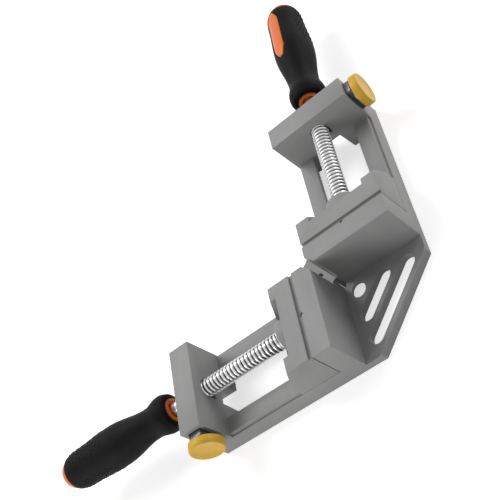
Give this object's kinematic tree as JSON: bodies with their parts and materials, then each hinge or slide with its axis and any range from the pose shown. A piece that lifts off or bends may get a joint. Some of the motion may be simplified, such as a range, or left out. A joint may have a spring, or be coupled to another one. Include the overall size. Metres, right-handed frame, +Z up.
{
  "type": "corner clamp",
  "caption": "Cast corner clamp: two screw-driven jaws hold two workpieces at a right angle, with screwdriver-style handles and quick-release buttons.",
  "frame": {"origin": "where the planes of the two fixed clamping faces cross, level with the frame's underside", "axes": "+X outwards along arm a, +Y outwards along arm b, +Z up"},
  "size_m": [0.3103, 0.3103, 0.0449],
  "materials": {
    "cast_grey": "die-cast aluminium with a smooth grey enamel, satin",
    "steel": "plain zinc-plated steel",
    "zinc_bright": "bright zinc-plated steel",
    "dark_steel": "dark phosphated steel",
    "yellow_plastic": "moulded yellow plastic, semi-gloss",
    "black_rubber": "soft black overmould, satin, with a patch of raised dots",
    "orange_plastic": "moulded orange plastic, semi-gloss"
  },
  "bodies": {
    "frame": {"frame": "cast_grey", "stop_screw_a": "steel", "stop_screw_b": "steel", "release_spring_a": "steel", "release_spring_b": "steel"},
    "jaw_a": {"moving_jaw_a": "cast_grey", "keeper_a": "steel", "keeper_screw_a_1": "steel", "keeper_screw_a_2": "steel", "washer_a": "steel", "spindle_pin_a": "steel"},
    "spindle_a": {"spindle_a": "zinc_bright", "handle_core_a": "orange_plastic", "handle_grip_a": "black_rubber", "handle_inlay_a": "orange_plastic", "handle_butt_a": "orange_plastic", "handle_pin_a": "steel"},
    "release_a": {"release_slide_a": "dark_steel", "release_cap_a": "yellow_plastic"},
    "jaw_b": {"moving_jaw_b": "cast_grey", "keeper_b": "steel", "keeper_screw_b_1": "steel", "keeper_screw_b_2": "steel", "washer_b": "steel", "spindle_pin_b": "steel"},
    "spindle_b": {"spindle_b": "zinc_bright", "handle_core_b": "orange_plastic", "handle_grip_b": "black_rubber", "handle_inlay_b": "orange_plastic", "handle_butt_b": "orange_plastic", "handle_pin_b": "steel"},
    "release_b": {"release_slide_b": "dark_steel", "release_cap_b": "yellow_plastic"}
  },
  "joints": [
    {"name": "jaw_slide_a", "type": "slide", "parent": "frame", "child": "jaw_a", "axis": [1, 0, 0], "range_m": [0, 0.058]},
    {"name": "spindle_turn_a", "type": "hinge", "parent": "jaw_a", "child": "spindle_a", "pos_m": [0.1, -0.043, 0.0298], "axis": [1, 0, 0], "range_deg": [-5, 6970]},
    {"name": "release_push_a", "type": "slide", "parent": "frame", "child": "release_a", "axis": [0, 1, 0], "range_m": [0, 0.003], "stiffness_N_per_m": 1500, "springref_m": -0.003, "deforming": ["release_spring_a"]},
    {"name": "jaw_slide_b", "type": "slide", "parent": "frame", "child": "jaw_b", "axis": [0, 1, 0], "range_m": [0, 0.058]},
    {"name": "spindle_turn_b", "type": "hinge", "parent": "jaw_b", "child": "spindle_b", "pos_m": [-0.043, 0.1, 0.0298], "axis": [0, 1, 0], "range_deg": [-5, 6970]},
    {"name": "release_push_b", "type": "slide", "parent": "frame", "child": "release_b", "axis": [1, 0, 0], "range_m": [0, 0.003], "stiffness_N_per_m": 1500, "springref_m": -0.003, "deforming": ["release_spring_b"]}
  ],
  "couplings": [
    {"joint": "spindle_turn_a", "follows": "jaw_slide_a", "rad_per_m": 2094.4},
    {"joint": "spindle_turn_b", "follows": "jaw_slide_b", "rad_per_m": 2094.4}
  ]
}
